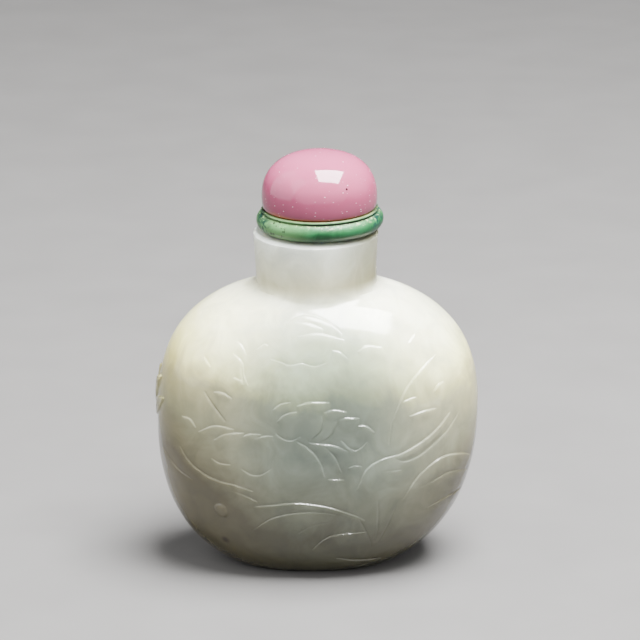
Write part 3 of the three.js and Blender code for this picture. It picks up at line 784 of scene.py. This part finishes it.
    # the wax is a little duller where the stone is cloudy
    gloss = addNode(m, "ShaderNodeMapRange", {
        "From Min": 0.3, "From Max": 0.7, "To Min": 0.1, "To Max": 0.15}, {"Value": (cloud, "Fac")})
    surface = addNode(m, "ShaderNodeBsdfPrincipled", {
        "IOR": 1.61, "Subsurface Weight": 0.7, "Subsurface Radius": (1.0, 0.95, 0.85),
        "Subsurface Scale": 0.003},
        {"Base Color": (marked, 2), "Roughness": (gloss, "Result"), "Normal": (bump, "Normal")})
    addNode(m, "ShaderNodeOutputMaterial", links={"Surface": (surface, "BSDF")})
    return m


def stopperLevel(material, place):
    # height above the collar's underside, along the stopper's own axis
    up = Vector((-math.sin(stopper["tilt"]), 0, math.cos(stopper["tilt"])))
    foot = Vector((stopper["axisX"], 0, stopper["underside"])) * mm
    along = addNode(material, "ShaderNodeVectorMath", {"operation": "DOT_PRODUCT", 1: up}, {0: place})
    return addNode(material, "ShaderNodeMath", {"operation": "SUBTRACT", 1: foot.dot(up)},
                   {0: (along, "Value")}), "Value"


def onStopper(radius, turn, level):
    # a place round the stopper, its turn in degrees from the front towards +X
    angle = math.radians(turn)
    return (stopper["axisX"] + radius * math.sin(angle), -radius * math.cos(angle),
            stopper["underside"] + level)


def pinkGlass():
    # opaque pink glass, fire-polished: deeper pink low on the dome, which is painted shade, small white
    # seeds, one dark one, brown glue showing at the seat
    look = dict(haze=6.25, seed=0.42, speckTurn=29, speckLevel=8.2, speckReach=0.19,
                glueLevel=3, glueWander=1.8, glueFade=0.6)
    m, place = newMaterial("polished pink glass")
    level = stopperLevel(m, place)
    height = addNode(m, "ShaderNodeMapRange", {
        "From Min": collar["beadTop"] * mm, "From Max": (cap["equator"] + cap["rise"]) * mm},
        {"Value": level})
    haze = addNode(m, "ShaderNodeTexNoise", {
        "Scale": 1000 / look["haze"], "Detail": 3, "Distortion": 0.5}, {"Vector": place})
    pushed = addNode(m, "ShaderNodeMath", {"operation": "MULTIPLY_ADD", 1: 0.14},
                     {0: (haze, "Fac"), 2: (height, "Result")})
    # deeper and darker towards the dome's foot: painted shade
    tint = addNode(m, "ShaderNodeValToRGB", links={"Fac": (pushed, "Value")}, stops=[
        (0.06, "#6e2e43"), (0.3, "#853b55"), (0.62, "#994865"), (1, "#9c4c6b")])
    # seeds, drawn out level and gathered in the lower half
    flat = addNode(m, "ShaderNodeVectorMath", {"operation": "MULTIPLY", 1: (0.6, 0.6, 1.35)}, {0: place})
    seeds = addNode(m, "ShaderNodeTexVoronoi", {"Scale": 1000 / look["seed"]}, {"Vector": (flat, "Vector")})
    near = addNode(m, "ShaderNodeMapRange", {"From Min": 0.2, "From Max": 0.08},
                   {"Value": (seeds, "Distance")})
    draw = addNode(m, "ShaderNodeSeparateColor", links={"Color": (seeds, "Color")})
    share = addNode(m, "ShaderNodeMapRange", {
        "From Min": 0.1, "From Max": 0.8, "To Min": 0.66, "To Max": 0.9}, {"Value": (height, "Result")})
    strength = addNode(m, "ShaderNodeMapRange", {"From Max": 1, "To Min": 0.1, "To Max": 0.8},
                       {"Value": (draw, "Red"), "From Min": (share, "Result")})
    chosen = addNode(m, "ShaderNodeMath", {"operation": "GREATER_THAN"},
                     {0: (draw, "Red"), 1: (share, "Result")})
    lit = addNode(m, "ShaderNodeMath", {"operation": "MULTIPLY"},
                  {0: (near, "Result"), 1: (strength, "Result")})
    spots = addNode(m, "ShaderNodeMath", {"operation": "MULTIPLY"},
                    {0: (lit, "Value"), 1: (chosen, "Value")})
    above = (look["speckLevel"] - cap["equator"]) / cap["rise"]
    radius = cap["radius"] * (1 - above ** cap["domePower"]) ** (1 / cap["domePower"])
    speck = patchMask(m, place, onStopper(radius, look["speckTurn"], look["speckLevel"]), look["speckReach"])
    glueTop = addNode(m, "ShaderNodeMath", {
        "operation": "MULTIPLY_ADD", 1: look["glueWander"] * mm, 2: look["glueLevel"] * mm},
        {0: (haze, "Fac")})
    underGlue = addNode(m, "ShaderNodeMath", {"operation": "SUBTRACT"}, {0: (glueTop, "Value"), 1: level})
    glued = addNode(m, "ShaderNodeMapRange", {"From Max": look["glueFade"] * mm, "To Max": 0.75},
                    {"Value": (underGlue, "Value")})
    colour = (tint, "Color")
    for mask, code in (((spots, "Value"), "#f6e2ea"), (speck, "#2a0c14"), ((glued, "Result"), "#94512a")):
        colour = (addNode(m, "ShaderNodeMix", {"data_type": "RGBA", 7: hexColour(code)},
                          {0: mask, 6: colour}), 2)
    surface = addNode(m, "ShaderNodeBsdfPrincipled", {
        "IOR": 1.52, "Roughness": 0.05, "Subsurface Weight": 0.3, "Subsurface Radius": (1.0, 0.6, 0.7),
        "Subsurface Scale": 0.002}, {"Base Color": colour})
    addNode(m, "ShaderNodeOutputMaterial", links={"Surface": (surface, "BSDF")})
    return m


def stainedCollar():
    # stained bright green and waxed, with dark marbling at the ends; painted shade under the ring and black
    # painted shade in the groove, painted glints along the ring's shoulder, painted light on its left
    look = dict(swirl=2.6, marble=1.5, glintNoise=0.55,         # size of each pattern
                paleFrom=-1, paleTo=-6, endsFrom=7.4, endsTo=8.6,
                pit=0.62, pitTurn=-43, pitLevel=1.6, pitReach=1.7)
    m, place = newMaterial("green stained and waxed")
    height = addNode(m, "ShaderNodeMapRange", {"From Max": collar["beadTop"] * mm},
                     {"Value": stopperLevel(m, place)})
    swirl = addNode(m, "ShaderNodeTexNoise", {
        "Scale": 1000 / look["swirl"], "Detail": 5, "Distortion": 1}, {"Vector": place})
    # up the collar: dark green under the ring, painted shade; pale at its shoulder, a painted glint; black
    # in the groove, painted shade; then the bead, with brown glue on its top
    shadeAndGlintBands = addNode(m, "ShaderNodeValToRGB", links={"Fac": (height, "Result")}, stops=[
        (0, "#0a2717"), (0.22, "#143f27"), (0.5, "#1c5a34"), (0.7, "#2c6b40"), (0.79, "#4d7d52"),
        (0.81, "#4c6a45"), (0.83, "#080d0a"), (0.89, "#0a100c"), (0.905, "#47724e"), (0.96, "#7c9d74"),
        (1, "#6f6a45")])
    tone = addNode(m, "ShaderNodeValToRGB", links={"Fac": (swirl, "Fac")}, stops=[
        (0.32, "#8fb0a0"), (0.5, "#dfeee2"), (0.66, "#ffffff")])
    toned = addNode(m, "ShaderNodeMix", {"data_type": "RGBA", "blend_type": "MULTIPLY", 0: 1.0},
                    {6: (shadeAndGlintBands, "Color"), 7: (tone, "Color")})
    # pale cream and mint specks along the ring's shoulder: painted glints
    glintNoise = addNode(m, "ShaderNodeTexNoise", {
        "Scale": 1000 / look["glintNoise"], "Detail": 4, "Roughness": 0.7}, {"Vector": place})
    glintSpecks = addNode(m, "ShaderNodeMapRange", {"From Min": 0.53, "From Max": 0.66}, {"Value": (glintNoise, "Fac")})
    shoulder = addNode(m, "ShaderNodeValToRGB", links={"Fac": (height, "Result")}, stops=[
        (0.62, "#000000"), (0.8, "#ffffff"), (0.81, "#ffffff"), (0.83, "#000000")])
    # the left of the ring is paler, painted light from the left, and veins cross both ends
    off = addNode(m, "ShaderNodeVectorMath", {"operation": "SUBTRACT", 1: (stopper["axisX"] * mm, 0, 0)},
                  {0: place})
    split = addNode(m, "ShaderNodeSeparateXYZ", links={"Vector": (off, "Vector")})
    litLeft = addNode(m, "ShaderNodeMapRange", {
        "From Min": look["paleFrom"] * mm, "From Max": look["paleTo"] * mm, "To Max": 0.35},
        {"Value": (split, "X")})
    sideways = addNode(m, "ShaderNodeMath", {"operation": "ABSOLUTE"}, {0: (split, "X")})
    ends = addNode(m, "ShaderNodeMapRange", {
        "From Min": look["endsFrom"] * mm, "From Max": look["endsTo"] * mm}, {"Value": (sideways, "Value")})
    marble = addNode(m, "ShaderNodeTexNoise", {
        "Scale": 1000 / look["marble"], "Detail": 4, "Distortion": 2.5}, {"Vector": place})
    vein = addNode(m, "ShaderNodeMapRange", {"From Min": 0.46, "From Max": 0.52}, {"Value": (marble, "Fac")})
    # a few small pits in one patch
    patch = patchMask(m, place, onStopper(collar["rimRadius"], look["pitTurn"], look["pitLevel"]),
                      look["pitReach"])
    cells = addNode(m, "ShaderNodeTexVoronoi", {"Scale": 1000 / look["pit"]}, {"Vector": place})
    holes = addNode(m, "ShaderNodeMapRange", {"From Min": 0.4, "From Max": 0.28, "To Max": 0.9},
                    {"Value": (cells, "Distance")})
    shoulderGlints, veined, pits = [
        (addNode(m, "ShaderNodeMath", {"operation": "MULTIPLY"}, {0: one, 1: other}), "Value")
        for one, other in (((glintSpecks, "Result"), (shoulder, "Color")), ((ends, "Result"), (vein, "Result")),
                           (patch, (holes, "Result")))]
    colour = (toned, 2)
    # laid over the stained green: painted glints on the shoulder, painted light on the left, then the dark
    # veins and pits
    for mask, code in ((shoulderGlints, "#b9c293"),         # cream and mint
                       ((litLeft, "Result"), "#7aa868"),     # pale yellowish green
                       (veined, "#0e3128"),               # dark teal
                       (pits, "#1c2416")):
        colour = (addNode(m, "ShaderNodeMix", {"data_type": "RGBA", 7: hexColour(code)},
                          {0: mask, 6: colour}), 2)
    # rubbed by hand: marks of just under half a millimetre
    grain = addNode(m, "ShaderNodeTexNoise", {"Scale": 2200, "Detail": 3}, {"Vector": place})
    bump = addNode(m, "ShaderNodeBump", {"Strength": 0.25, "Distance": 0.0001}, {"Height": (grain, "Fac")})
    surface = addNode(m, "ShaderNodeBsdfPrincipled", {"IOR": 1.35, "Roughness": 0.42},
                      {"Base Color": colour, "Normal": (bump, "Normal")})
    addNode(m, "ShaderNodeOutputMaterial", links={"Surface": (surface, "BSDF")})
    return m


def plainCork():
    # cut bottle cork: dark pores about a millimetre apart in a warm brown
    m, place = newMaterial("plain cork")
    grain = addNode(m, "ShaderNodeTexNoise", {"Scale": 900, "Detail": 6}, {"Vector": place})
    tint = addNode(m, "ShaderNodeValToRGB", links={"Fac": (grain, "Fac")}, stops=[
        (0.35, "#6d4a2b"), (0.5, "#a97e50"), (0.7, "#c29a6c")])
    bump = addNode(m, "ShaderNodeBump", {"Strength": 0.4, "Distance": 0.0002}, {"Height": (grain, "Fac")})
    surface = addNode(m, "ShaderNodeBsdfPrincipled", {"Roughness": 0.85},
                      {"Base Color": (tint, "Color"), "Normal": (bump, "Normal")})
    addNode(m, "ShaderNodeOutputMaterial", links={"Surface": (surface, "BSDF")})
    return m


def palePaper():
    # pale matt paper: a faint mottle, no sheen
    m, place = newMaterial("pale matt paper")
    mottle = addNode(m, "ShaderNodeTexNoise", {"Scale": 60, "Detail": 3}, {"Vector": place})
    tint = addNode(m, "ShaderNodeValToRGB", links={"Fac": (mottle, "Fac")}, stops=[
        (0.3, "#5f5e5d"), (0.7, "#636261")])
    surface = addNode(m, "ShaderNodeBsdfPrincipled", {"Roughness": 0.8}, {"Base Color": (tint, "Color")})
    addNode(m, "ShaderNodeOutputMaterial", links={"Surface": (surface, "BSDF")})
    return m


print("materials")
finishPiece(bottleBody, "bottle", nephriteJade())
finishPiece(collarRing, "collar", stainedCollar())
finishPiece(capDome, "cap", pinkGlass())
finishPiece(corkPlug, "cork", plainCork())

print("stage")
deselectAll()
bpy.ops.mesh.primitive_plane_add(size=20)
floor = bpy.context.object
floor.name = "floor"
floor.data.materials.append(palePaper())

view = dict(distance=600, elevation=19, aim=(1.35, 0, 39.2), eyeLevel=25.2, lens=212.4, sensor=36)
pitch = math.radians(view["elevation"])
cameraData = bpy.data.cameras.new("camera")
cameraData.lens, cameraData.sensor_width = view["lens"], view["sensor"]
camera = bpy.data.objects.new("camera", cameraData)
bpy.context.scene.collection.objects.link(camera)
camera.location = (0, -view["distance"] * math.cos(pitch) * mm,
                   (view["eyeLevel"] + view["distance"] * math.sin(pitch)) * mm)
aim = Vector(view["aim"]) * mm - camera.location
camera.rotation_euler = aim.to_track_quat("-Z", "Y").to_euler()
bpy.context.scene.camera = camera

# soft panels round the bottle: azimuth from the front towards +X, elevation, distance, size, brightness
panels = {
    "softbox": dict(azimuth=65, elevation=75, distance=500, width=350, height=310, radiance=68, spin=31),
    "front": dict(azimuth=0, elevation=34, distance=900, width=2500, height=1600, radiance=1.6, spin=0),
    "leftWall": dict(azimuth=-86, elevation=28, distance=800, width=950, height=1150, radiance=2.1, spin=0),
    "rightWall": dict(azimuth=86, elevation=28, distance=800, width=950, height=1150, radiance=0.9, spin=0),
}
for name, panel in panels.items():
    data = bpy.data.lights.new(name, "AREA")
    data.shape = "RECTANGLE"
    data.size, data.size_y = panel["width"] * mm, panel["height"] * mm
    data.energy = panel["radiance"] * math.pi * data.size * data.size_y
    light = bpy.data.objects.new(name, data)
    bpy.context.scene.collection.objects.link(light)
    turn, lift = math.radians(panel["azimuth"]), math.radians(panel["elevation"])
    towards = Vector((math.sin(turn) * math.cos(lift), -math.cos(turn) * math.cos(lift), math.sin(lift)))
    light.location = towards * panel["distance"] * mm + Vector((0, 0, view["eyeLevel"] * mm))
    spin = Quaternion((0, 0, 1), math.radians(panel["spin"]))
    light.rotation_euler = ((-towards).to_track_quat("-Z", "Y") @ spin).to_euler()
    light.visible_camera = False

world = bpy.data.worlds.new("studio")
world.use_nodes = True
background = world.node_tree.nodes["Background"].inputs
background["Color"].default_value = hexColour("#c9ccd0")
background["Strength"].default_value = 0.12
bpy.context.scene.world = world
